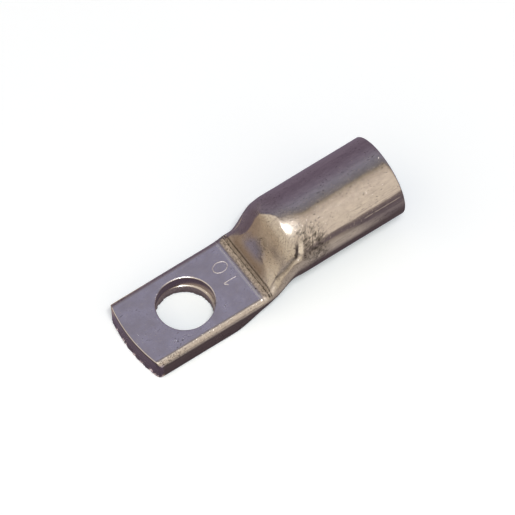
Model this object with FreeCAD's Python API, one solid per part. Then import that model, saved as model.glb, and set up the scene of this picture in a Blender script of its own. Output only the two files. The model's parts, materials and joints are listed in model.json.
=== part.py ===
"""Tinned copper tube lug for a 70 mm2 cable and an M10 stud.

The lug is one length of soft copper tube. One end stays round and takes the
cable. The other end is pressed flat between two dies, so that its two walls
lie on each other and make the palm, and the stud hole is punched through both.
Between them the press leaves the shoulder: a steep flat ramp that narrows
towards the top of the tube, with the folded sides of the tube rising beside it.

Millimetres. The origin is on the axis of the stud hole, at the underside of
the palm. +X runs along the tube towards the mouth of the barrel and +Z is up.
"""
import FreeCAD, Part
import math
import os

# Barrel: the end that stays round
barrel_radius = 8.0
wall = 1.8
barrel_end = 43.0          # stud hole axis to the mouth
barrel_lift = 0.88         # underside of the barrel above the underside of the palm
mouth_bevel = 0.3          # outer edge of the mouth
mouth_chamfer = 0.25       # inner edge of the mouth

# Palm: the end that is pressed flat
palm_width = 16.0
palm_tip = 12.0            # stud hole axis to the middle of the tip
tip_arc_radius = 29.5      # the tip is cut to a shallow arc
palm_top_edge = 1.2        # rounding that the fold leaves along the upper edges
palm_lower_edge = 0.8
cut_edge_bevel = 0.12      # burr taken off the punched and cut edges
seam_gap = 0.1             # hairline between the two pressed walls

# Stud hole: clearance for M10
stud_hole_radius = 5.25

# Shoulder: the ramp that the upper die leaves
ramp_foot = 13.2           # stud hole axis to where the palm and ramp planes meet
ramp_angle = 66.0
ramp_foot_round = 1.5
round_out = 2.6            # the tube is round again this far behind the ramp's top
press_allowance = 0.05     # what the dies squeeze off the blank

# Shoulder: the walls of the tube beside and above the ramp
fold_lead = 7.7            # the side folds start to rise this far before the foot
fold_share = 0.85          # how far up the palm's thickness they stand past the foot
fold_delay = 1.35          # this far past the foot they turn up steeply
fold_overrun = 1.6         # and reach the barrel's axis this far behind the ramp's top
crown_lead = 0.8           # the upper wall starts to rise this far before the foot
crown_gather = 3.9         # and has no flat left this far past it
belly_lead = 1.0           # the lower wall starts to lift this far before the foot
belly_overrun = 2.0        # and hangs at the barrel's height this far behind the ramp's top
waist_depth = 0.16         # the folds draw in beside the ramp
slack_weight = 0.26        # how flat the walls hang beside the ramp: 0.707 is round

# How finely the shoulder is followed
section_pitch = 0.8        # spacing of the sections along it
section_count = 19         # steps along each half of a section
join_tolerance = 0.001     # the smooth sections meet the true round of the barrel within this
edge_tolerance = 0.01      # how near an edge lies to the cut that made it

# What follows from the sizes above
palm_half = palm_width / 2
metal_area = math.pi * (2 * barrel_radius - wall) * wall
corner_loss = (4 - math.pi) / 2 * (palm_top_edge ** 2 + palm_lower_edge ** 2)
palm_thickness = (metal_area + corner_loss) / palm_width
seam_z = palm_thickness / 2
seam_half = palm_half - seam_z
barrel_axis_z = barrel_lift + barrel_radius
barrel_top = barrel_axis_z + barrel_radius
bore_radius = barrel_radius - wall
ramp_turn = math.radians(ramp_angle)
ramp_slope = math.tan(ramp_turn)
ramp_top = ramp_foot + (barrel_top - palm_thickness) / ramp_slope
ramp_middle = (ramp_foot + ramp_top) / 2
shoulder_start = ramp_foot - fold_lead
shoulder_end = ramp_top + round_out
seam_end = ramp_foot + (wall / math.cos(ramp_turn) - seam_z) / ramp_slope
bore_start = seam_end + (barrel_top - wall - seam_z) / ramp_slope
overrun = barrel_radius    # how far a cutter reaches past what it cuts
circle_weight = math.sqrt(0.5)
x_axis = FreeCAD.Vector(1, 0, 0)


def ease(x, start, end):
    """0 before start, 1 after end, and a smooth S between them."""
    u = min(max((x - start) / (end - start), 0.0), 1.0)
    return u * u * (3 - 2 * u)


def swell(x, start, middle, end):
    """0 outside start and end, and 1 at the middle."""
    return ease(x, start, middle) * (1 - ease(x, middle, end))


def blend(before, after, share):
    return before + (after - before) * share


def corner(side, apex, crown, weight):
    """Points of the conic that leaves side towards apex and arrives at crown.

    The weight makes it a quarter of a circle at 0.707 and a chord at 0.
    """
    points = []
    steps = 60
    for i in range(steps + 1):
        t = i / steps
        a = (1 - t) ** 2
        b = 2 * weight * t * (1 - t)
        c = t ** 2
        y = (a * side[0] + b * apex[0] + c * crown[0]) / (a + b + c)
        z = (a * side[1] + b * apex[1] + c * crown[1]) / (a + b + c)
        points.append((y, z))
    return points


def evenly_spaced(points, count):
    """The same open line, as count + 1 points at equal distances along it."""
    points = points[:1] + [b for a, b in zip(points, points[1:]) if math.dist(a, b) > 1e-6]
    travelled = [0.0]
    for before, after in zip(points, points[1:]):
        travelled.append(travelled[-1] + math.dist(before, after))
    result = []
    k = 0
    for i in range(count + 1):
        goal = travelled[-1] * i / count
        while k < len(points) - 2 and travelled[k + 1] < goal:
            k += 1
        share = (goal - travelled[k]) / (travelled[k + 1] - travelled[k])
        y = blend(points[k][0], points[k + 1][0], share)
        z = blend(points[k][1], points[k + 1][1], share)
        result.append((y, z))
    return result


def section_wire(x, half_line):
    """Closed smooth wire at x through steps of half_line, mirrored about the XZ plane."""
    right = evenly_spaced(half_line, section_count)
    left = [(-y, z) for y, z in right[-2:0:-1]]
    ring = [FreeCAD.Vector(x, y, z) for y, z in right + left]
    curve = Part.BSplineCurve()
    curve.interpolate(Points=ring, PeriodicFlag=True)
    return Part.Wire([curve.toShape()])


def fold_height(x):
    """Height of the side's widest line, from the palm's edge up to the barrel's axis."""
    palm_height = (palm_lower_edge + palm_thickness - palm_top_edge) / 2
    turn_up = ramp_foot + fold_delay
    height = blend(palm_height, fold_share * palm_thickness, ease(x, shoulder_start, turn_up))
    return blend(height, barrel_axis_z, ease(x, turn_up, ramp_top + fold_overrun))


def blank_wire(x):
    """Section of the outside of the tube before the dies close on it.

    Each half runs from the bottom flat over the lower corner, the upright side
    and the upper corner to the top flat.
    """
    rise_start = ramp_foot - crown_lead
    belly_end = ramp_top + belly_overrun
    side = fold_height(x)
    upright = (palm_thickness - palm_top_edge - palm_lower_edge) / 2
    upright *= 1 - ease(x, shoulder_start, rise_start)
    half_width = blend(palm_half, barrel_radius, ease(x, ramp_middle, shoulder_end))
    half_width -= waist_depth * swell(x, ramp_foot, ramp_middle, shoulder_end)
    top = blend(palm_thickness + press_allowance, barrel_top, ease(x, rise_start, ramp_top))
    bottom = blend(-press_allowance, barrel_lift, ease(x, ramp_foot - belly_lead, belly_end))
    top_flat = (palm_half - palm_top_edge) * (1 - ease(x, rise_start, ramp_foot + crown_gather))
    bottom_flat = (palm_half - palm_lower_edge) * (1 - ease(x, shoulder_start, belly_end))
    slack = swell(x, rise_start, ramp_middle, shoulder_end)
    weight = blend(circle_weight, slack_weight, slack)
    lower = corner((half_width, side - upright), (half_width, bottom), (bottom_flat, bottom), weight)
    upper = corner((half_width, side + upright), (half_width, top), (top_flat, top), weight)
    half_line = [(0.0, bottom)] + lower[::-1] + upper + [(0.0, top)]
    return section_wire(x, half_line)


def blank():
    """Outside of the tube: folded palm end, shoulder and round barrel in one solid."""
    palm_end = shoulder_start - section_pitch
    palm_length = palm_tip + overrun + palm_end
    palm = Part.Face(blank_wire(palm_end)).extrude(FreeCAD.Vector(-palm_length, 0, 0))
    steps = math.ceil((shoulder_end - palm_end) / section_pitch)
    wires = [blank_wire(blend(palm_end, shoulder_end, i / steps)) for i in range(steps + 1)]
    shoulder = Part.makeLoft(wires, True, False)
    barrel_base = FreeCAD.Vector(shoulder_end, 0, barrel_axis_z)
    barrel = Part.makeCylinder(barrel_radius, barrel_end - shoulder_end, barrel_base, x_axis)
    return palm.fuse([shoulder, barrel], join_tolerance)


def press_gap():
    """The space that the closed dies leave, as a side profile carried across the width.

    The lower die is flat under the palm. The upper die is flat over the palm,
    turns up with a round foot into the ramp, and is open above the shoulder.
    """
    left = -palm_tip - 2 * overrun
    right = barrel_end + overrun
    roof = barrel_top + overrun
    reach = ramp_foot_round * math.tan(ramp_turn / 2)
    flat_end = ramp_foot - reach
    ramp_start = ramp_foot + reach * math.cos(ramp_turn)
    roof_start = ramp_foot + (roof - palm_thickness) / ramp_slope
    half_turn_x = flat_end + ramp_foot_round * math.sin(ramp_turn / 2)
    half_turn_z = palm_thickness + ramp_foot_round * (1 - math.cos(ramp_turn / 2))
    corners = [
        (ramp_start, palm_thickness + reach * math.sin(ramp_turn)),
        (roof_start, roof),
        (right, roof),
        (right, 0),
        (left, 0),
        (left, palm_thickness),
        (flat_end, palm_thickness),
    ]
    points = [FreeCAD.Vector(x, -palm_width, z) for x, z in corners]
    foot = Part.Arc(points[-1], FreeCAD.Vector(half_turn_x, -palm_width, half_turn_z), points[0])
    edges = [Part.LineSegment(a, b).toShape() for a, b in zip(points, points[1:])]
    profile = Part.Wire(edges + [foot.toShape()])
    return Part.Face(profile).extrude(FreeCAD.Vector(0, 2 * palm_width, 0))


def tip_offcut():
    """What the shears remove beyond the arc of the tip."""
    height = palm_thickness + 2 * overrun
    low_corner = FreeCAD.Vector(-palm_tip - overrun, -palm_width, -overrun)
    block = Part.makeBox(palm_tip + overrun, 2 * palm_width, height, low_corner)
    arc_centre = FreeCAD.Vector(tip_arc_radius - palm_tip, 0, -overrun)
    return block.cut(Part.makeCylinder(tip_arc_radius, height, arc_centre))


def edges_where(shape, test):
    """The edges of shape whose ends and middle all pass the test."""
    found = []
    for edge in shape.Edges:
        middle = edge.valueAt((edge.FirstParameter + edge.LastParameter) / 2)
        if all(test(point) for point in [middle] + [end.Point for end in edge.Vertexes]):
            found.append(edge)
    return found


def on_tip(point):
    from_arc = math.hypot(point.x - tip_arc_radius + palm_tip, point.y) - tip_arc_radius
    return point.x < 0 and abs(from_arc) < edge_tolerance


def on_stud_hole(point):
    return abs(math.hypot(point.x, point.y) - stud_hole_radius) < edge_tolerance


def at_mouth(point):
    return abs(point.x - barrel_end) < edge_tolerance


def pressed_body():
    """The outside of the lug: the blank squeezed in the dies, sheared at the tip and punched."""
    body = blank().common(press_gap()).cut(tip_offcut())
    body = body.makeChamfer(cut_edge_bevel, edges_where(body, on_tip))
    body = body.makeChamfer(mouth_bevel, edges_where(body, at_mouth))
    punch_base = FreeCAD.Vector(0, 0, -overrun)
    punch = Part.makeCylinder(stud_hole_radius, palm_thickness + 2 * overrun, punch_base)
    body = body.cut(punch)
    return body.makeChamfer(cut_edge_bevel, edges_where(body, on_stud_hole))


def bore_space():
    """The round bore, and its straight taper under the ramp down to the closed seam.

    The taper's slit is one gap wider and twice as high as the seam, which ends inside it.
    """
    seam_centre = FreeCAD.Vector(seam_end, 0, seam_z)
    seam_side = seam_centre + FreeCAD.Vector(0, seam_half + seam_gap, 0)
    seam_top = seam_centre + FreeCAD.Vector(0, 0, seam_gap)
    slit = Part.Ellipse(seam_side, seam_top, seam_centre)
    bore_base = FreeCAD.Vector(bore_start, 0, barrel_axis_z)
    circle = Part.Circle(bore_base, x_axis, bore_radius)
    circle.XAxis = FreeCAD.Vector(0, 1, 0)
    taper = Part.makeLoft([Part.Wire(slit.toShape()), Part.Wire(circle.toShape())], True, True)
    bore = Part.makeCylinder(bore_radius, barrel_end + overrun - bore_start, bore_base, x_axis)
    return taper.fuse(bore, join_tolerance)


def mouth_countersink():
    depth = 2 * mouth_chamfer
    base = FreeCAD.Vector(barrel_end - mouth_chamfer, 0, barrel_axis_z)
    return Part.makeCone(bore_radius, bore_radius + depth, depth, base, x_axis)


def seam_space():
    """The hairline between the two pressed walls, from the tip back to the bore's taper."""
    length = palm_tip + overrun + seam_end + seam_gap
    near_corner = FreeCAD.Vector(-palm_tip - overrun, -seam_half, seam_z - seam_gap / 2)
    return Part.makeBox(length, 2 * seam_half, seam_gap, near_corner)


def lug_body():
    """The finished lug in one piece."""
    return pressed_body().cut(bore_space()).cut(mouth_countersink()).cut(seam_space())


if __name__ == "__main__":
    os.makedirs("parts", exist_ok=True)
    lug = lug_body()
    lug.exportStep("parts/lug_body.step")
    print(lug.ShapeType, lug.isValid(), len(lug.Solids), round(lug.Volume, 2), len(lug.Faces))
    print("palm thickness", round(palm_thickness, 3), "ramp top", round(ramp_top, 3),
          "bore from", round(bore_start, 3), "barrel axis", barrel_axis_z)
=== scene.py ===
"""A tinned copper tube lug, lying on a plain pale floor in soft studio light."""
import json
import math

import bmesh
import bpy
import numpy as np
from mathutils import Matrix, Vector


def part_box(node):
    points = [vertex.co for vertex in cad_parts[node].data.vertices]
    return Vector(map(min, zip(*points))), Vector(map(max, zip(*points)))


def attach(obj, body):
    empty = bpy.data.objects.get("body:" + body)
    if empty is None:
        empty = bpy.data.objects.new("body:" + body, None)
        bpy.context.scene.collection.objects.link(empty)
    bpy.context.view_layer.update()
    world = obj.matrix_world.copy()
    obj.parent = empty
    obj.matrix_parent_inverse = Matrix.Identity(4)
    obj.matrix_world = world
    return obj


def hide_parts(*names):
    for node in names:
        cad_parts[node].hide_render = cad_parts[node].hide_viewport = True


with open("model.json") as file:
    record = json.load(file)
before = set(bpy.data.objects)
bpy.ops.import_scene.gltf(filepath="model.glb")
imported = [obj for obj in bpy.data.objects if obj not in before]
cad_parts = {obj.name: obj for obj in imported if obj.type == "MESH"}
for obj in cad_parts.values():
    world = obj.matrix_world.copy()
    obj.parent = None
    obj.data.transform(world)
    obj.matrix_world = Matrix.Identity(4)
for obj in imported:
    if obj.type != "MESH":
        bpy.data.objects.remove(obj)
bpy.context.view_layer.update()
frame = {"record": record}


# The lug itself. The real one is a length of soft copper tube, annealed and tin
# plated. Two dies flatten one end, which leaves a steep ramp and two folded sides,
# then shears trim the tip and a punch makes the stud hole.

# Sizes in millimetres, from the frame where it has them.
mounts = {mount["name"]: mount for mount in frame["record"]["mounts"]}
cad_low, cad_high = [1000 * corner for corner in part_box("lug_body")]
palm_tip = cad_low.x
mouth = cad_high.x
palm_thickness = 1000 * mounts["palm_top"]["pos_m"][2]
stud_radius = mounts["stud_hole"]["dims"]["r_mm"]
bore_radius = mounts["barrel_bore"]["dims"]["r_mm"]
axis_z = 1000 * mounts["barrel_bore"]["pos_m"][2]
barrel_radius = cad_high.z - axis_z
barrel_lift = axis_z - barrel_radius
palm_half = barrel_radius
seam_z = palm_thickness / 2
seam_half = palm_half - seam_z
seam_gap = 0.1

# Edges: the palm's long ones are soft, and the tip's and the mouth's are small rounds.
palm_top_edge = 1.35
palm_lower_edge = 0.8
tip_arc_radius = 29.5
tip_low_corner = 1.1
tip_top_corner = 0.4
tip_edge_round = 0.16
mouth_round = 0.2
mouth_chamfer = 0.25

# The ramp, and the stations along X where the form turns.
ramp_foot = 13.2
ramp_turn = math.radians(66)
ramp_slope = math.tan(ramp_turn)
ramp_foot_round = 1.5
ramp_top = ramp_foot + (cad_high.z - palm_thickness) / ramp_slope
ramp_middle = (ramp_foot + ramp_top) / 2
bore_start = ramp_top + 1.2
seam_end = ramp_foot + 0.85
shoulder_start = ramp_foot - 7.7
shoulder_end = ramp_top + 2.6
turn_up = ramp_foot + 1.35
rise_start = ramp_foot - 0.8
belly_end = ramp_top + 2.0

half_steps = 120  # around one half of a section


def ease(x, start, end):
    """0 before start, 1 after end, and a smooth S between them."""
    u = np.clip((x - start) / (end - start), 0, 1)
    return u * u * (3 - 2 * u)


def swell(x, start, middle, end):
    """0 outside start and end, and 1 at the middle."""
    return ease(x, start, middle) * (1 - ease(x, middle, end))


def blend(before, after, share):
    """before at share 0, after at share 1, and a straight line between them."""
    return before + (after - before) * share


def soft_min(a, b, reach):
    """The lower of a and b, rounded where they are within reach of each other."""
    share = np.clip(0.5 + 0.5 * (b - a) / reach, 0, 1)
    return blend(b, a, share) - reach * share * (1 - share)


def die_height(x):
    """Height of the upper die: flat over the palm, a round foot, then the ramp's plane."""
    reach = ramp_foot_round * math.tan(ramp_turn / 2)
    flat_end = ramp_foot - reach
    ramp_start = ramp_foot + reach * math.cos(ramp_turn)
    into_foot = np.clip(x - flat_end, 0, ramp_start - flat_end)
    foot = palm_thickness + ramp_foot_round - np.sqrt(ramp_foot_round ** 2 - into_foot ** 2)
    return np.where(x < ramp_start, foot, palm_thickness + (x - ramp_foot) * ramp_slope)


def pressed_half(x, w):
    """Outside of the lug's +Y half at station x, as y and z for w from 0 below to 1 above.

    Each quarter is an upright stretch, a conic corner and a flat, shared out along w by
    their lengths. The conic is a weighted mean of its side, apex and crown, with the
    weights (1-t)^2, 2kt(1-t) and t^2, so k bends it from a chord to a round quarter.
    """
    side = blend((palm_lower_edge + palm_thickness - palm_top_edge) / 2, 0.85 * palm_thickness,
                 ease(x, shoulder_start, turn_up))
    side = blend(side, axis_z, ease(x, turn_up, ramp_top + 1.6))
    upright = (palm_thickness - palm_top_edge - palm_lower_edge) / 2 * (1 - ease(x, shoulder_start, rise_start))
    half_width = palm_half - 0.16 * swell(x, ramp_foot, ramp_middle, shoulder_end)
    top = blend(palm_thickness + 0.05, cad_high.z, ease(x, rise_start, ramp_top))
    bottom = blend(-0.05, barrel_lift, ease(x, ramp_foot - 1.0, belly_end))
    top_flat = (palm_half - palm_top_edge) * (1 - ease(x, rise_start, ramp_foot + 3.9))
    bottom_flat = (palm_half - palm_lower_edge) * (1 - ease(x, shoulder_start, belly_end))
    k = blend(math.sqrt(0.5), 0.26, swell(x, rise_start, ramp_middle, shoulder_end))

    above = w >= 0.5
    way = np.where(above, 1, -1)
    level = np.where(above, top, bottom)
    flat = np.where(above, top_flat, bottom_flat)
    turn_z = side + way * upright
    corner_length = 1.11 * np.hypot(half_width - flat, level - turn_z)
    run = np.abs(2 * w - 1) * (upright + corner_length + flat)
    t = np.clip((run - upright) / corner_length, 0, 1)
    along_flat = np.clip((run - upright - corner_length) / np.maximum(flat, 1e-6), 0, 1)
    a, b, c = (1 - t) ** 2, 2 * k * t * (1 - t), t ** 2
    y = ((a + b) * half_width + c * flat) / (a + b + c) * (1 - along_flat)
    z = (a * turn_z + (b + c) * level) / (a + b + c)
    z = np.where(run < upright, side + way * run, z)
    return y, z


def squeezed(x, y, z):
    """Height of the blank's points once the dies have closed on them.

    The wall first sinks where it is slack, by bell curves across it: in a long fall behind
    the ramp's near edge, and a little beside its far edge. The upper die then limits the
    height, softly on the near side and with a sharper edge on the far one.
    """
    near_fall = (1 - np.clip((x - ramp_middle - 0.8) / 7.4, 0, 1)) ** 2 * ease(x, ramp_foot, ramp_middle)
    far_fall = swell(x, ramp_foot - 0.5, ramp_middle, ramp_top + 3)
    sunk = 1.1 * near_fall * np.exp(-((y + 4.2) / 3.0) ** 2) + 0.5 * far_fall * np.exp(-((y - 5) / 2.2) ** 2)
    z = z - sunk * ease(z, palm_thickness, axis_z + 4)
    reach = blend(4.2, 0.25, ease(y, -0.6, 2.7))
    z = soft_min(z, die_height(x), blend(0.02, reach, ease(x, ramp_foot, ramp_top)))
    return -soft_min(-z, 0.0, 0.02)


def outward(rings):
    """Unit normals of a grid of closed rings, from the cross product of its two directions."""
    around = np.roll(rings, -1, 1) - np.roll(rings, 1, 1)
    along = np.gradient(rings, axis=0)
    normal = np.cross(around, along)
    return normal / np.maximum(np.linalg.norm(normal, axis=2, keepdims=True), 1e-9)


def waves(points, length, seed):
    """Smooth random field, about -1 to 1: the mean of 14 sine waves of that length, turned at random."""
    random = np.random.default_rng(seed)
    turns = random.normal(size=(14, 3))
    turns /= np.linalg.norm(turns, axis=1, keepdims=True)
    turns *= random.uniform(0.7, 1.4, (14, 1)) / length
    phases = random.uniform(0, 2 * math.pi, 14)
    return np.sin(2 * math.pi * points @ turns.T + phases).mean(-1) * 2.2


def from_line(points, start, end):
    """Distance of points from the straight line between start and end, and how far along it they lie."""
    start, end = np.array(start), np.array(end)
    share = np.clip((points - start) @ (end - start) / np.sum((end - start) ** 2), 0, 1)
    return np.linalg.norm(points - start - share[..., None] * (end - start), axis=-1), share


# The crease up each side of the ramp, and the dimple above it, on the +Y side.
valley = [(13.7, 7.15, 5.8), (16.3, 6.5, 8.1), (18.9, 6.93, 11.4), (20.2, 7.25, 11.9)]
dimple = [(20.0, 7.2, 11.8), (21.0, 5.7, 14.2)]


def dents(points):
    """How far the skin stands out from the plain form, below zero where it is dented.

    Each crease or dimple is a bell curve of the distance to its line, and the dimple is
    deepest at its middle. The foot has a low ridge where the die began and two fine lines
    at the ramp's root. A slow, slight unevenness covers all but the palm.
    """
    mirrored = points * (1, 0, 1) + np.abs(points) * (0, 1, 0)
    crease = np.min([from_line(mirrored, *pair)[0] for pair in zip(valley, valley[1:])], axis=0)
    hollow, share = from_line(mirrored, *dimple)
    from_foot = points[..., 0] - ramp_foot
    foot_line = np.exp(-((from_foot - 0.2) / 0.09) ** 2) + np.exp(-((from_foot - 0.62) / 0.08) ** 2)
    foot_line = foot_line - 0.45 * np.exp(-((from_foot + 1.2) / 0.17) ** 2)
    foot_line = foot_line * (1 - ease(points[..., 2], 6.3, 6.8)) * ease(points[..., 2], 4.4, 5.0)
    palm = 1 - ease(points[..., 0], 9, 14)
    uneven = 0.018 * (waves(points, 7.0, 3) - 1) + 0.005 * (waves(points, 2.4, 4) - 1)
    dimple_depth = 0.42 * ease(share, -0.3, 0.35) * (1 - 0.7 * ease(share, 0.5, 1.0))
    return (-0.26 * np.exp(-(crease / 0.42) ** 2) - dimple_depth * np.exp(-(hollow / 0.52) ** 2)
            - 0.08 * foot_line + uneven * (1 - 0.9 * palm))


def skin_rings():
    """Rings of the pressed outside from the tip to the mouth, closer together where the form turns.

    The tip is an arc across the palm whose corners are rounded, most at the bottom, and
    the dents move each point along its normal.
    """
    first, last = palm_tip + tip_edge_round, mouth - mouth_round
    limits = [first, first + 4, ramp_foot - 1.6, ramp_foot - 0.1, ramp_foot + 0.9, 22.4, last]
    counts = [20, 56, 14, 34, 72, 41]
    stretches = [np.linspace(*ends, count, endpoint=False) for *ends, count in zip(limits, limits[1:], counts)]
    stations = np.concatenate([*stretches, [last]])[:, None]
    w = np.linspace(0, 1, half_steps + 1)[None, :]
    y, z = pressed_half(stations, w)
    y[:, 0] = 0
    y[:, -1] = 0
    y = np.hstack([y, -y[:, -2:0:-1]])
    z = np.hstack([z, z[:, -2:0:-1]])
    x = np.broadcast_to(stations, y.shape)
    z = squeezed(x, y, z)
    corner = blend(tip_low_corner, tip_top_corner, ease(z, 0.5, 4.0))
    into_corner = np.clip(np.abs(y) - palm_half + corner, 0, corner)
    arc = tip_arc_radius - np.sqrt(tip_arc_radius ** 2 - y ** 2) + corner - np.sqrt(corner ** 2 - into_corner ** 2)
    x = x + arc * (1 - ease(x, palm_tip, palm_tip + 6))
    rings = np.stack([x, y, z], axis=2)
    return rings + outward(rings) * dents(rings)[..., None]


def rounded_end(ring, normal, radius, way, steps):
    """Rings that turn an end over its edge: each moves in by radius(1-cos a) and along X by radius sin a."""
    angles = np.linspace(0, math.pi / 2, steps + 1)[1:, None, None]
    sideways = normal * (0, 1, 1)
    sideways = sideways / np.maximum(np.linalg.norm(sideways, axis=1, keepdims=True), 1e-9)
    moved = ring - sideways * radius * (1 - np.cos(angles))
    return moved + np.array((way, 0, 0)) * radius * np.sin(angles)


def bore_rings(mouth_ring):
    """Rings across the cut mouth, over its chamfer, down the bore and along the taper to the seam.

    Every ring is the mouth's own directions about the axis times a radius. In the taper
    each point goes straight to its place on a thin ellipse at the end of the seam.
    """
    spokes = mouth_ring[:, 1:] - (0, axis_z)
    spokes = spokes / np.linalg.norm(spokes, axis=1, keepdims=True)
    edge = barrel_radius - mouth_round
    radii = np.concatenate([
        np.linspace(edge, bore_radius + mouth_chamfer, 7)[1:],
        np.linspace(bore_radius + mouth_chamfer, bore_radius, 4)[1:],
        np.full(22, bore_radius),
    ])
    inside = mouth - mouth_chamfer
    x = np.concatenate([
        np.full(6, mouth),
        np.linspace(mouth, inside, 4)[1:],
        np.linspace(inside, bore_start, 23)[1:],
    ])
    bore = np.empty((len(radii), len(spokes), 3))
    bore[..., 0] = x[:, None]
    bore[..., 1] = radii[:, None] * spokes[:, 0]
    bore[..., 2] = axis_z + radii[:, None] * spokes[:, 1]
    closed = np.stack([np.full(len(spokes), seam_end), seam_half * spokes[:, 0],
                       seam_z + seam_gap / 2 * spokes[:, 1]], axis=1)
    share = np.linspace(0, 1, 17)[1:, None, None]
    taper = blend(bore[-1], closed, share)
    pinched = closed * (1, 1, 0) + (0, 0, seam_z)
    return np.concatenate([bore, taper, pinched[None]])


def grid_faces(ring_count, around):
    """Quads between neighbouring rings."""
    ring, step = np.meshgrid(np.arange(ring_count - 1), np.arange(around), indexing="ij")
    here = ring * around + step
    beside = ring * around + (step + 1) % around
    return np.stack([here, beside, beside + around, here + around], axis=-1).reshape(-1, 4)


def tip_face(ring, first_new):
    """The sheared end: columns from each point below to the one above it on the ring.

    The shear leaves a smooth upper part, then torn metal whose depth and burr come from
    random waves. Returns the new points, and faces that count them from first_new.
    """
    around = 2 * half_steps
    quarter = half_steps // 2
    levels = 30
    column = np.arange(1 - quarter, quarter)
    below, above = column % around, half_steps - column
    share = (np.arange(1, levels) / levels)[:, None, None]
    points = blend(ring[below], ring[above], share)
    torn = 1 - ease(share[..., 0], 0.15, 0.45)
    fine = points * (1, 1, 0.35)
    rough = waves(fine, 0.9, 11) + waves(fine, 0.5, 12)
    points[..., 0] += 0.22 * torn * np.abs(rough) + 0.012 * np.abs(waves(points * (1, 1, 0.1), 0.5, 13))
    rows = np.concatenate([below[None], first_new + np.arange(points[..., 0].size).reshape(points.shape[:2]),
                           above[None]])
    faces = np.stack([rows[:-1, :-1], rows[:-1, 1:], rows[1:, 1:], rows[1:, :-1]], axis=-1).reshape(-1, 4)
    ends = []
    for corner, side in ((quarter, -1), (around - quarter, 0)):
        edge = rows[:, side]
        ends.append(np.stack([edge[:-1], edge[1:], np.full(levels, corner)], axis=-1))
    return points.reshape(-1, 3), faces, np.concatenate(ends)


def mesh_object(name, points, faces):
    """Object from points in millimetres, with doubles merged and its faces turned outwards."""
    mesh = bpy.data.meshes.new(name)
    mesh.from_pydata((points / 1000).tolist(), [], [face.tolist() for group in faces for face in group])
    work = bmesh.new()
    work.from_mesh(mesh)
    bmesh.ops.remove_doubles(work, verts=work.verts, dist=2e-7)
    bmesh.ops.dissolve_degenerate(work, edges=work.edges, dist=1e-7)
    bmesh.ops.recalc_face_normals(work, faces=work.faces)
    work.to_mesh(mesh)
    work.free()
    made = bpy.data.objects.new(name, mesh)
    bpy.context.scene.collection.objects.link(made)
    return made


def pressed_tube():
    """The whole outside and inside of the lug as one closed skin, before the punch."""
    skin = skin_rings()
    normal = outward(skin)
    tip = rounded_end(skin[0], normal[0], tip_edge_round, -1, 5)[::-1]
    lip = rounded_end(skin[-1], normal[-1], mouth_round, 1, 5)
    burr = 0.2 * np.abs(waves(tip * (1, 1, 0.4), 0.6, 14)) * (1 - ease(tip[..., 2], 0.1, 1.0))
    tip[..., 0] += burr
    rings = np.concatenate([tip, skin, lip, bore_rings(lip[-1])])
    quads = grid_faces(len(rings), 2 * half_steps)
    points = rings.reshape(-1, 3)
    tip_points, tip_quads, tip_ends = tip_face(rings[0], len(points))
    return mesh_object("lug", np.concatenate([points, tip_points]), [quads, tip_quads, tip_ends])


def turned(name, profile):
    """Closed solid about the stud hole's axis, from a radius and a height at each level and angle."""
    count, steps = profile.shape[:2]
    angle = np.linspace(0, 2 * math.pi, steps, endpoint=False)
    radius, height = profile[..., 0], profile[..., 1]
    points = np.stack([radius * np.cos(angle), radius * np.sin(angle), height], axis=2)
    poles = np.array([(0, 0, height[0, 0]), (0, 0, height[-1, 0])])
    step = np.arange(steps)
    first = np.stack([np.full(steps, count * steps), step, (step + 1) % steps], axis=1)
    last = np.stack([np.full(steps, count * steps + 1), step, (step + 1) % steps], axis=1)
    last[:, 1:] += (count - 1) * steps
    return mesh_object(name, np.concatenate([points.reshape(-1, 3), poles]),
                       [grid_faces(count, steps), first, last])


def punch():
    """What the punch removes: a rolled-over rim, a smooth upper hole and a torn lower one.

    The upper wall slipped, so that its hole is wider towards +X and the lower wall shows
    as a sloped crescent there. Random waves tear the lower rim.
    """
    steps = 240
    roll = 0.24
    slack = 0.03
    angle = np.linspace(0, 2 * math.pi, steps, endpoint=False)
    turn = np.linspace(math.radians(12), math.pi / 2, 7)
    slip = 0.42 * np.clip(np.cos(angle - math.radians(5)), 0, 1) ** 2
    outside = slack + roll + 0.3
    rolled_rim = [(slack + roll * (1 - math.sin(t)), palm_thickness - roll * (1 - math.cos(t))) for t in turn]
    upper = np.array([(outside, palm_thickness + 1), (outside, palm_thickness + 0.05), *rolled_rim,
                      (slack, seam_z + 0.12), (0.05, seam_z + 0.05), (0.01, seam_z - 0.03)])
    upper = upper[:, None] + np.zeros((1, steps, 1))
    upper[..., 0] += stud_radius
    upper[2:, :, 0] += slip
    lower = np.array([(0, seam_z), *((0, height) for height in np.linspace(1.85, 0.12, 9)),
                      (0.1, 0.05), (0.16, -0.05), (0.16, -1)])
    lower = lower[:, None] + np.zeros((1, steps, 1))
    lower[..., 0] += stud_radius - 0.01
    lower[0, :, 1] = seam_z - 0.06 - 0.22 * slip
    profile = np.concatenate([upper, lower])
    torn = ease(-profile[..., 1], -1.5, -0.2)
    circle = stud_radius * np.stack([np.cos(angle), np.sin(angle)], axis=1)
    place = np.concatenate([np.broadcast_to(circle, (len(profile), steps, 2)), 0.4 * profile[..., 1:]], axis=2)
    profile[..., 0] += torn * (0.2 * np.abs(waves(place, 0.9, 21)) + 0.15 * np.abs(waves(place, 0.5, 22)))
    return turned("punch", profile)


def box(name, low, high):
    """Closed box between two corners."""
    choose = np.array([[i, j, k] for i in (0, 1) for j in (0, 1) for k in (0, 1)])
    points = np.array(low) + choose * (np.array(high) - np.array(low))
    faces = np.array([(0, 1, 3, 2), (4, 6, 7, 5), (0, 4, 5, 1), (2, 3, 7, 6), (0, 2, 6, 4), (1, 5, 7, 3)])
    return mesh_object(name, points, [faces])


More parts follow.
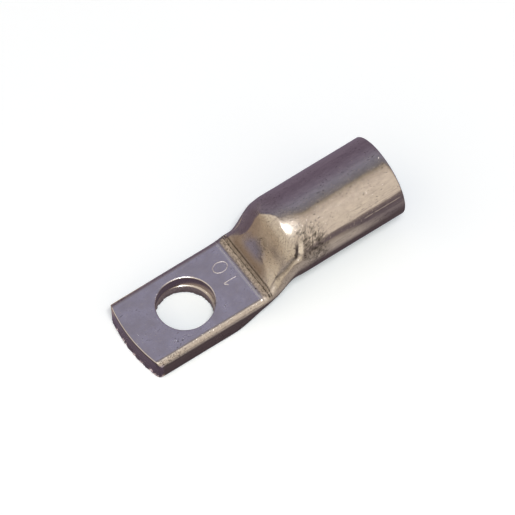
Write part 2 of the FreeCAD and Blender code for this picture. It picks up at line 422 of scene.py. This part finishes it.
def groove(name, path, width, depth, closed):
    """A stamp's line: a round tube along path, sunk so that it cuts depth deep and width wide."""
    steps = 12
    radius = (width ** 2 / 4 + depth ** 2) / (2 * depth)
    path = np.array(path)
    ahead = np.roll(path, -1, 0) - np.roll(path, 1, 0)
    if not closed:
        ahead = np.gradient(path, axis=0)
    ahead /= np.linalg.norm(ahead, axis=1, keepdims=True)
    across = np.stack([-ahead[:, 1], ahead[:, 0]], axis=1)
    angle = np.linspace(0, 2 * math.pi, steps, endpoint=False)
    taper = np.ones(len(path))
    if not closed:
        taper[0] = taper[-1] = 0.05
    side = radius * taper[:, None] * np.cos(angle)
    up = radius * taper[:, None] * np.sin(angle)
    centre = palm_thickness + radius - depth
    points = np.stack([path[:, :1] + across[:, :1] * side, path[:, 1:] + across[:, 1:] * side, centre + up], axis=2)
    if closed:
        points = np.concatenate([points, points[:1]])
    faces = [grid_faces(len(points), steps)]
    flat = points.reshape(-1, 3)
    if not closed:
        faces.append(np.array([np.arange(steps)]))
        faces.append(np.array([np.arange(steps) + (len(points) - 1) * steps]))
    return mesh_object(name, flat, faces)


def stamp_lines():
    """A plain 1 and 0 that read across the palm, with their tops towards the tip."""
    width, depth = 0.18, 0.07
    top, foot = 8.1, 11.0
    one = np.stack([np.linspace(top, foot, 12), np.full(12, -0.55)], axis=1)
    serif = np.stack([np.linspace(top + 0.75, top, 6), np.linspace(-1.35, -0.55, 6)], axis=1)
    angle = np.linspace(0, 2 * math.pi, 48, endpoint=False)
    nought = np.stack([(top + foot) / 2 + (foot - top) / 2 * np.cos(angle), 2.6 + 1.05 * np.sin(angle)], axis=1)
    return [groove("one", one, width, depth, False), groove("serif", serif, width, depth, False),
            groove("nought", nought, width, depth, True)]


def carve(body, cutters):
    """Removes the cutters from body, one after the other, and then the cutters themselves."""
    for cutter in cutters:
        cut = body.modifiers.new(cutter.name, "BOOLEAN")
        cut.operation = "DIFFERENCE"
        cut.solver = "EXACT"
        cut.object = cutter
    bpy.context.view_layer.update()
    evaluated = body.evaluated_get(bpy.context.evaluated_depsgraph_get())
    carved = bpy.data.meshes.new_from_object(evaluated)
    body.modifiers.clear()
    body.data = carved
    for cutter in cutters:
        bpy.data.objects.remove(cutter)


lug = pressed_tube()
seam = box("seam", (palm_tip - 1, -seam_half, seam_z - seam_gap / 2),
           (seam_end + 0.3, seam_half, seam_z + seam_gap / 2))
carve(lug, [seam, punch(), *stamp_lines()])
lug.data.name = "lug"
lug.data.shade_smooth()
lug.data.set_sharp_from_angle(angle=math.radians(40))


# Bright tin plate on soft copper. Plating leaves a warm, pale metal that mirrors the
# studio softly. The press gives it an orange-peel grain where the tube was bent, the dies
# and handling leave rubbed marks, and painted reflections turn the palm and mid ramp
# bluish. Painted shade and painted highlights are coloured in on the ramp and its creases,
# the hole, the dimple and the palm's rim.

def linear(code):
    """Linear colour from an sRGB hex code."""
    share = [int(code[i:i + 2], 16) / 255 for i in (1, 3, 5)]
    return [s / 12.92 if s <= 0.04045 else ((s + 0.055) / 1.055) ** 2.4 for s in share] + [1.0]


def add(tree, kind, inputs=None, **settings):
    """Adds a node with its settings, and links or sets its inputs by name or number."""
    node = tree.nodes.new(kind)
    for name, value in settings.items():
        setattr(node, name, value)
    for name, value in (inputs or {}).items():
        if isinstance(value, bpy.types.NodeSocket):
            tree.links.new(value, node.inputs[name])
        else:
            node.inputs[name].default_value = value
    return node


def bright_tin():
    """Tin plate, worked out from where each point lies on the lug, in millimetres.

    Masks are 1 on a stretch of the lug and 0 elsewhere. Sums of masks, each times a
    weight, give the colour's marks, the roughness and the relief.
    """
    material = bpy.data.materials.new("bright_tin")
    material.use_nodes = True
    tree = material.node_tree
    tree.nodes.clear()
    on_lug = add(tree, "ShaderNodeTexCoord").outputs["Object"]
    place = add(tree, "ShaderNodeVectorMath", {0: on_lug, "Scale": 1000.0}, operation="SCALE").outputs[0]
    x, y, z = add(tree, "ShaderNodeSeparateXYZ", {0: place}).outputs
    beyond = 99.0  # farther than any part of the lug reaches

    def layers(*weighted, base=0.0):
        """The base plus each pattern times its weight."""
        for pattern, weight in weighted:
            base = add(tree, "ShaderNodeMath", {0: pattern, 1: weight, 2: base},
                       operation="MULTIPLY_ADD").outputs[0]
        return base

    def overlap(*masks):
        """1 where every mask is 1, and 0 where any of them is 0."""
        shared, *others = masks
        for mask in others:
            shared = add(tree, "ShaderNodeMath", {0: shared, 1: mask}, operation="MULTIPLY").outputs[0]
        return shared

    def between(value, low, high, soft):
        """1 from low to high and 0 beyond them, with an edge that starts soft before each limit and ends soft after."""
        return overlap(*(add(tree, "ShaderNodeMapRange", {0: value, 1: start, 2: end}).outputs[0]
                         for start, end in ((low - soft, low + soft), (high + soft, high - soft))))

    def grain(size, long=1.0, detail=2.0, where=place):
        """Random grain about size millimetres across, and long times that along X."""
        drawn_in = add(tree, "ShaderNodeVectorMath", {0: where, 1: (1 / long, 1, 1)}, operation="MULTIPLY")
        return add(tree, "ShaderNodeTexNoise", {"Vector": drawn_in.outputs[0], "Scale": 0.5 / size,
                                                "Detail": detail}).outputs["Fac"]

    def spots(size, faint, full, long=1.0, detail=2.0, where=place):
        """Spots of such a grain: 0 where it is below faint and 1 where it is above full."""
        return add(tree, "ShaderNodeMapRange", {0: grain(size, long, detail, where), 1: faint,
                                                2: full}).outputs[0]

    def away(centre, axes=(1, 1, 1)):
        """Distance in millimetres from centre, along the axes that are 1."""
        apart = add(tree, "ShaderNodeVectorMath", {0: place, 1: centre}, operation="SUBTRACT")
        kept = add(tree, "ShaderNodeVectorMath", {0: apart.outputs[0], 1: axes}, operation="MULTIPLY")
        return add(tree, "ShaderNodeVectorMath", {0: kept.outputs[0]}, operation="LENGTH").outputs["Value"]

    def off_and_along(centre, way):
        """How far a place lies off the line through centre along way, and how far along it."""
        apart = add(tree, "ShaderNodeVectorMath", {0: place, 1: centre}, operation="SUBTRACT").outputs[0]
        off = add(tree, "ShaderNodeVectorMath", {0: apart, 1: way}, operation="CROSS_PRODUCT").outputs[0]
        return (add(tree, "ShaderNodeVectorMath", {0: off}, operation="LENGTH").outputs["Value"],
                add(tree, "ShaderNodeVectorMath", {0: apart, 1: way}, operation="DOT_PRODUCT").outputs["Value"])

    # Stretches of the lug.
    bent = between(x, ramp_foot - 0.6, 22.5, 1.2)
    palm = between(x, palm_tip - 1, ramp_foot - 1.0, 0.3)
    palm_top = overlap(palm, between(z, palm_thickness - 0.08, beyond, 0.04), between(y, -6.8, 6.8, 0.15))
    foot = overlap(between(x, ramp_foot - 0.9, ramp_foot + 0.55, 0.25), between(z, 4.9, 6.6, 0.3))
    ramp_face = overlap(between(x, ramp_foot + 0.6, ramp_top, 0.3), between(y, -4.5, 5.5, 1.2))
    low_ramp = overlap(ramp_face, between(z, 5.0, 8.2, 1.0))
    sideways = add(tree, "ShaderNodeMath", {0: y}, operation="ABSOLUTE").outputs[0]
    long_edge = overlap(between(sideways, 7.1, beyond, 0.2), palm, between(z, 3.5, beyond, 0.3))
    tip_corner = overlap(long_edge, between(x, -beyond, -6.5, 2.5))
    fold_corner = overlap(between(x, ramp_foot - 1.0, 14.8, 0.5), between(z, 4.3, 6.8, 0.4),
                          between(y, -beyond, -6.4, 0.4))
    around = add(tree, "ShaderNodeMath", {0: layers((y, -1.0)), 1: layers((z, 1.0), base=-axis_z)},
                 operation="ARCTAN2").outputs[0]

    # Cut faces: the punched hole's smooth and torn walls, the sheared tip, and the stamped 10.
    hole_wall = between(away((0, 0, 0), (1, 1, 0)), -beyond, stud_radius + 0.6, 0.05)
    tip_wall = overlap(between(away((palm_tip + tip_arc_radius, 0, 0), (1, 1, 0)), tip_arc_radius - 0.8, beyond, 0.2),
                       between(x, -beyond, -2.5, 2.5))
    # Painted shade: the punched hole's upper wall is coloured a darker purple, and darkened a little more among the
    # marks.
    hole_wall_painted_shade = overlap(hole_wall, between(z, seam_z + 0.2, palm_thickness - 0.2, 0.1))
    torn = overlap(layers((hole_wall, 1.0), (tip_wall, 1.0)), between(z, -1, 1.7, 0.6))
    sheared = overlap(tip_wall, between(z, -beyond, 4.45, 0.25))
    stamped = overlap(between(x, 7.8, 11.3, 0.1), between(y, -1.7, 4.0, 0.1),
                      between(z, palm_thickness - 0.2, palm_thickness - 0.015, 0.005))

    # Rubbed marks beside the near dimple, whose bright wall stays clear of them. Real
    # ones are 0.02 to 0.05 mm wide, and are drawn 0.07 mm wide and ten times as long to show.
    dimple_middle = (21.0, -6.35, 13.2)
    dimple_way = (0.333, 0.5, 0.8)
    off_wall, along_wall = off_and_along(dimple_middle, dimple_way)
    off_root, along_root = off_and_along((20.2, -6.35, 13.2), dimple_way)
    off_crease, along_crease = off_and_along((17.6, -6.72, 9.75), (0.615, -0.1, 0.78))
    ragged = grain(0.22)

    def strokes(degrees, faint, full):
        """Fine rubbed lines on the near shoulder, turned up by so many degrees from the axis."""
        apart = add(tree, "ShaderNodeVectorMath", {0: place, 1: dimple_middle}, operation="SUBTRACT").outputs[0]
        slant = add(tree, "ShaderNodeVectorRotate", {"Vector": apart, "Axis": (0, -0.77, 0.64),
                                                     "Angle": math.radians(-degrees)}).outputs[0]
        return spots(0.075, faint, full, long=10, where=slant)

    behind_dimple = overlap(between(x, 21.3, 26.0, 1.0), between(along_wall, -3.4, 3.9, 1.2))
    before_dimple = overlap(between(x, 18.0, 21.4, 0.8), between(along_wall, -3.0, 3.4, 1.0))
    crossed = layers((strokes(22, 0.54, 0.6), 1.0), (strokes(50, 0.54, 0.6), 1.0),
                     (spots(0.4, 0.42, 0.6, detail=3.0), 0.7))
    mid_ramp = between(layers((away((16.3, -0.6, 11.4)), 1.0), (ragged, 0.9)), -beyond, 2.05, 0.55)
    # Painted shade: the hollow at the dimple's root is darkened.
    dimple_root = overlap(between(layers((off_root, 1.0), (ragged, 0.9)), -beyond, 0.9, 0.1),
                          between(along_root, -1.6, 1.2, 0.3))
    # Painted shade: a ragged dark line along the crease up the near side of the ramp.
    crease_painted_shade = overlap(between(layers((off_crease, 1.0), (ragged, 0.9)), -beyond, 0.85, 0.1),
                          between(along_crease, -3.2, 3.6, 0.5))
    clear = layers((overlap(between(off_wall, -1, 0.42, 0.1), between(along_wall, -1.5, 1.5, 0.6)), -1.0), base=1.0)
    # Rubbed marks on the near shoulder, joined by the painted shade of the dimple's root and the crease.
    rubbed_and_shade = layers(
        (overlap(crossed, spots(0.7, 0.28, 0.44), behind_dimple), 1.0),
        (overlap(strokes(66, 0.54, 0.62), spots(1.1, 0.48, 0.56, detail=1.0), before_dimple), 0.45),
        (overlap(layers((strokes(-25, 0.52, 0.6), 1.0), (strokes(20, 0.56, 0.64), 1.0)), mid_ramp), 0.8),
        (dimple_root, 1.0), (crease_painted_shade, 0.6))
    rubbed_and_shade = overlap(rubbed_and_shade, clear, between(y, -beyond, 1.1, 0.5))
    # Painted highlight: the dimple's steep wall is coloured near white, and the ramp's darker colour is kept off it.
    dimple_painted_highlight = overlap(between(layers((off_wall, 1.0), (ragged, 0.45)), -beyond, 0.775, 0.175),
                       between(along_wall, -1.5, 1.0, 0.8))

    # Wear elsewhere: one long scratch and faint ones along the barrel, and pits; and painted
    # shade in the two fine grooves at the ramp's root. Pits of about 0.05 mm are drawn at 0.12 mm to show.
    scratch = overlap(between(around, 1.150, 1.158, 0.006), between(x, 34.5, 42.2, 0.8))
    faint_scratches = overlap(spots(0.1, 0.64, 0.68, long=40, detail=1.0), between(x, 26, mouth, 2),
                              between(around, 0.75, 1.5, 0.15))
    pits = overlap(spots(0.12, 0.66, 0.71, long=1.8, detail=1.0), spots(1.6, 0.48, 0.58))
    # Painted shade: the two fine grooves at the ramp's root are darkened.
    root_line_shade = overlap(layers((between(x, ramp_foot + 0.1, ramp_foot + 0.22, 0.06), 1.0),
                                (between(x, ramp_foot + 0.54, ramp_foot + 0.68, 0.06), 1.0)),
                         between(z, 4.9, 7.2, 0.2))
    mottled = spots(0.16, 0.48, 0.58, detail=1.0)
    # Darker colour: the wear above, together with the painted shade of the hole wall, the dimple's root, the crease and
    # the root grooves.
    marks_and_shade = layers(
        (rubbed_and_shade, 0.62), (pits, 0.85), (faint_scratches, 0.3), (overlap(spots(0.15, 0.52, 0.64), bent), 0.24),
        (overlap(mottled, layers((foot, 0.5), (long_edge, 0.15), (tip_corner, 0.45))), 1.0),
        (hole_wall_painted_shade, 0.1), (root_line_shade, 0.85), (overlap(spots(0.14, 0.5, 0.6, detail=1.0), torn), 0.3))
    # Painted shade: the ramp's face, its foot and the bend are coloured darker, except on the dimple's painted
    # highlight. Their rougher finish is in the roughness below.
    ramp_painted_shade = overlap(layers((foot, 0.4), (ramp_face, 0.48), (low_ramp, 0.5), (bent, 0.1)),
                   layers((dimple_painted_highlight, -1.0), base=1.0))

    # Colour, from the bare tin and its film up. The palm's bluish tint and the ramp's blue
    # patch are painted reflections, the hole's darker purple wall is painted shade, and the sheared tip is pale purple.
    film = spots(0.3, 0.3, 0.7, long=2.5, detail=3.0)
    # Painted reflection: the palm's top is made paler and bluish, in random patches, for the cool side mirrored in it.
    palm_painted_reflection = overlap(palm_top, layers((spots(1.6, 0.35, 0.65), 0.45), base=0.5))
    # Painted highlight: a white strip across the palm's top, just before the ramp's foot.
    palm_rim_highlight = overlap(palm_top, between(x, 11.55, ramp_foot - 1.0, 0.12))
    # Painted reflection: a blue patch in the middle of the ramp's face stands for the palm mirrored in it.
    ramp_painted_reflection = between(layers((away((15.1, 0.4, 9.3)), 1.0), (grain(0.6), 2.0)), -beyond, 3.4, 1.0)
    colour = linear("#d4cdc5")
    for mask, code in ((film, "#e3dcd2"), (dimple_painted_highlight, "#fffaf2"), (palm_painted_reflection, "#eeedf5"),
                       (layers((hole_wall_painted_shade, 0.8)), "#8b7a90"), (sheared, "#efe6f4"), (palm_rim_highlight, "#ffffff"),
                       (ramp_painted_reflection, "#8fa2dc"), (ramp_painted_shade, "#a9998a"), (marks_and_shade, "#4a423a")):
        colour = add(tree, "ShaderNodeMix", {"Factor": mask, "A": colour, "B": linear(code)}, data_type="RGBA",
                     clamp_factor=True).outputs["Result"]

    roughness = layers((bent, 0.13), (foot, 0.18), (palm, 0.12), (low_ramp, 0.4), (fold_corner, 0.35),
                       (stamped, 0.3), (spots(1.6, 0.4, 0.7), 0.05), base=0.11)

    # Relief in millimetres. Drawing lines, really 0.02 mm apart, are drawn 0.2 mm apart to show.
    drawn = grain(0.2, long=26)
    peel = grain(0.26, detail=1.5)
    height = layers((drawn, 0.0014), (peel, 0.0034), (overlap(peel, bent), 0.007),
                    (overlap(peel, layers((foot, 1.0), (long_edge, 1.0))), 0.02), (rubbed_and_shade, -0.005),
                    (spots(0.12, 0.73, 0.8, detail=0.0), 0.012), (scratch, -0.03),
                    (overlap(grain(0.25), torn), 0.22))
    relief = add(tree, "ShaderNodeBump", {"Height": height, "Distance": 0.001, "Strength": 1.0}).outputs[0]
    shader = add(tree, "ShaderNodeBsdfPrincipled", {"Base Color": colour, "Metallic": 1.0,
                                                    "Roughness": roughness, "Normal": relief})
    add(tree, "ShaderNodeOutputMaterial", {"Surface": shader.outputs["BSDF"]})
    return material


lug.data.materials.clear()
lug.data.materials.append(bright_tin())

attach(lug, "root")
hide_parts("lug_body")


# A plain pale floor, level with the underside of the palm, which runs out of sight. It
# is matt paint, with a little light of its own so that it shows white to the camera.

floor_half = 600.0


def pale_paint():
    """Matt near-white paint, with a glow for camera, glossy and transmission rays.

    The painted reflection sheet lies over it, so from above the metal mirrors that sheet in its place.
    """
    material = bpy.data.materials.new("pale_paint")
    material.use_nodes = True
    tree = material.node_tree
    tree.nodes.clear()
    ray = add(tree, "ShaderNodeLightPath").outputs
    seen = 0.0
    for kind in ("Is Camera Ray", "Is Glossy Ray", "Is Transmission Ray"):
        seen = add(tree, "ShaderNodeMath", {0: ray[kind], 1: seen}, operation="MAXIMUM").outputs[0]
    glow = add(tree, "ShaderNodeMath", {0: seen, 1: 0.31}, operation="MULTIPLY").outputs[0]
    shader = add(tree, "ShaderNodeBsdfPrincipled", {
        "Base Color": linear("#fafafa"), "Roughness": 0.9, "Emission Color": linear("#d9f4ff"),
        "Emission Strength": glow})
    add(tree, "ShaderNodeOutputMaterial", {"Surface": shader.outputs["BSDF"]})
    return material


floor = box("floor", (-floor_half, -floor_half, -2), (floor_half, floor_half, 0))
floor.data.materials.append(pale_paint())


# Studio light: a broad warm side towards the camera's left, a dim cool side away from
# it, a small soft lamp, and a sheet of painted reflections on the floor, whose darkest bands
# are painted shadow. The metal mirrors these and not the pale background that the camera
# sees, and its dark and coloured bands come from them.

def bands(tree, value, low, high, stops):
    """Colours across value, from low to high, through stops of a value and a hex colour."""
    share = add(tree, "ShaderNodeMapRange", {0: value, 1: low, 2: high})
    made = add(tree, "ShaderNodeValToRGB", {"Fac": share.outputs[0]})
    elements = made.color_ramp.elements
    elements.remove(elements[1])
    elements[0].position = (stops[0][0] - low) / (high - low)
    elements[0].color = linear(stops[0][1])
    for place, code in stops[1:]:
        elements.new((place - low) / (high - low)).color = linear(code)
    return made.outputs["Color"]


def surroundings():
    """The studio's walls, as bands from its cool side to its warm one, and pale to the camera."""
    world = bpy.data.worlds.new("studio")
    bpy.context.scene.world = world
    world.use_nodes = True
    tree = world.node_tree
    tree.nodes.clear()
    warm_side = (-0.8, -0.565, 0.21)
    way = add(tree, "ShaderNodeTexCoord").outputs["Generated"]
    warm = add(tree, "ShaderNodeVectorMath", {0: way, 1: warm_side}, operation="DOT_PRODUCT").outputs["Value"]
    walls = bands(tree, warm, -1, 1, [
        (-0.9, "#75687c"), (-0.68, "#73677a"), (-0.47, "#82798d"), (-0.27, "#918fa1"), (-0.14, "#84828f"),
        (-0.03, "#7e7a80"), (-0.005, "#877c70"), (0.02, "#a89c8c"), (0.06, "#bfb2a6"), (0.13, "#cfc2b6"),
        (0.2, "#e6d9ce"), (0.3, "#e8dbcf"), (0.42, "#e4d8ca"), (0.9, "#dfd2c0")])
    seen = add(tree, "ShaderNodeLightPath").outputs["Is Camera Ray"]
    plain = add(tree, "ShaderNodeMix", {"Factor": seen, "A": walls, "B": linear("#fafafa")}, data_type="RGBA")
    background = add(tree, "ShaderNodeBackground", {"Color": plain.outputs["Result"], "Strength": 1.0})
    add(tree, "ShaderNodeOutputWorld", {"Surface": background.outputs[0]})


def flag():
    """Sheet of painted reflections along the lug, in metres from the stud hole, that shows in the metal only.

    The bands differ beside the palm and beyond the mouth, and the dark ones just beside the lug are
    painted shadow. A warm patch lies beyond the tip, a brown one behind the palm, and a purple one under the stud hole.
    """
    sheet = box("flag", (-floor_half, -floor_half, 0.004), (floor_half, floor_half, 0.008))
    material = bpy.data.materials.new("flag")
    material.use_nodes = True
    tree = material.node_tree
    tree.nodes.clear()
    place = add(tree, "ShaderNodeTexCoord").outputs["Object"]
    x, y, _ = add(tree, "ShaderNodeSeparateXYZ", {0: place}).outputs
    # Painted shadow: the darkest bands, from 12 mm on the near side to just past the lug, stand for its shadow on the
    # floor; the rest are painted reflections.
    by_palm = bands(tree, y, -0.2, 0.2, [
        (-0.15, "#b8ab9e"), (-0.085, "#a89c92"), (-0.065, "#80757a"), (-0.052, "#80757a"), (-0.04, "#a89c92"),
        (-0.0205, "#b8afa9"), (-0.0150, "#b2a8a4"), (-0.0125, "#7f7678"), (-0.0112, "#554a4f"),
        (-0.0085, "#4d4249"), (-0.004, "#5d5359"), (0.003, "#5f555b"), (0.02, "#7c7083")])
    by_mouth = bands(tree, y, -0.2, 0.2, [
        (-0.15, "#8a7d7d"), (-0.1, "#75696c"), (-0.03, "#6b6069"), (-0.0205, "#857b80"), (-0.0150, "#6d636a"),
        (-0.0112, "#554a4f"), (0.0, "#5c5259"), (0.02, "#7c7083")])
    from_brown = add(tree, "ShaderNodeVectorMath", {0: place, 1: (-0.014, 0.021, 0)}, operation="SUBTRACT")
    from_brown = add(tree, "ShaderNodeVectorMath", {0: from_brown.outputs[0], 1: (0.8, 1, 0)},
                     operation="MULTIPLY")
    from_brown = add(tree, "ShaderNodeVectorMath", {0: from_brown.outputs[0]}, operation="LENGTH")
    from_hole = add(tree, "ShaderNodeVectorMath", {0: place}, operation="LENGTH")
    colour = by_palm
    for value, faint, full, patch in (
            (x, 0.036, 0.043, by_mouth), (x, -0.024, -0.032, linear("#dccdb8")),
            (from_brown.outputs["Value"], 0.0135, 0.0105, linear("#b8a596")),
            (from_hole.outputs["Value"], 0.0055, 0.004, linear("#7b7077"))):
        share = add(tree, "ShaderNodeMapRange", {0: value, 1: faint, 2: full}).outputs[0]
        colour = add(tree, "ShaderNodeMix", {"Factor": share, "A": colour, "B": patch},
                     data_type="RGBA").outputs["Result"]
    glow = add(tree, "ShaderNodeEmission", {"Color": colour})
    add(tree, "ShaderNodeOutputMaterial", {"Surface": glow.outputs[0]})
    sheet.data.materials.append(material)
    sheet.visible_camera = False
    sheet.visible_diffuse = False
    sheet.visible_shadow = False
    sheet.visible_transmission = False


def lamp():
    """A disc lamp that lies where the shoulder's highlight asks for it, facing the lug."""
    towards = Vector((-0.09, -0.345, 0.93)).normalized()
    distance = 0.8
    data = bpy.data.lights.new("soft_lamp", "AREA")
    data.shape = "DISK"
    data.size = 0.16
    data.energy = 2.2
    made = bpy.data.objects.new("soft_lamp", data)
    made.location = towards * distance
    made.rotation_euler = towards.to_track_quat("Z", "Y").to_euler()
    bpy.context.scene.collection.objects.link(made)


surroundings()
flag()
lamp()


# Camera: an 800 mm lens from the near side, well above the lug, and so far off that
# the lug's parallel edges stay parallel in the picture.

def camera():
    """Camera that looks along back towards target, and sees view_width metres across there."""
    azimuth = math.radians(-35)
    elevation = math.radians(60)
    view_width = 0.0928
    target = Vector((0.01627, 0.00041, 0.00507))
    data = bpy.data.cameras.new("camera")
    data.lens = 800
    data.sensor_width = 36
    distance = view_width * data.lens / data.sensor_width
    back = Vector((math.sin(azimuth) * math.cos(elevation), -math.cos(azimuth) * math.cos(elevation),
                   math.sin(elevation)))
    data.clip_end = 2 * distance
    made = bpy.data.objects.new("camera", data)
    made.location = target + back * distance
    made.rotation_euler = back.to_track_quat("Z", "Y").to_euler()
    bpy.context.scene.collection.objects.link(made)
    bpy.context.scene.camera = made


camera()
bpy.context.scene.view_settings.view_transform = "Standard"
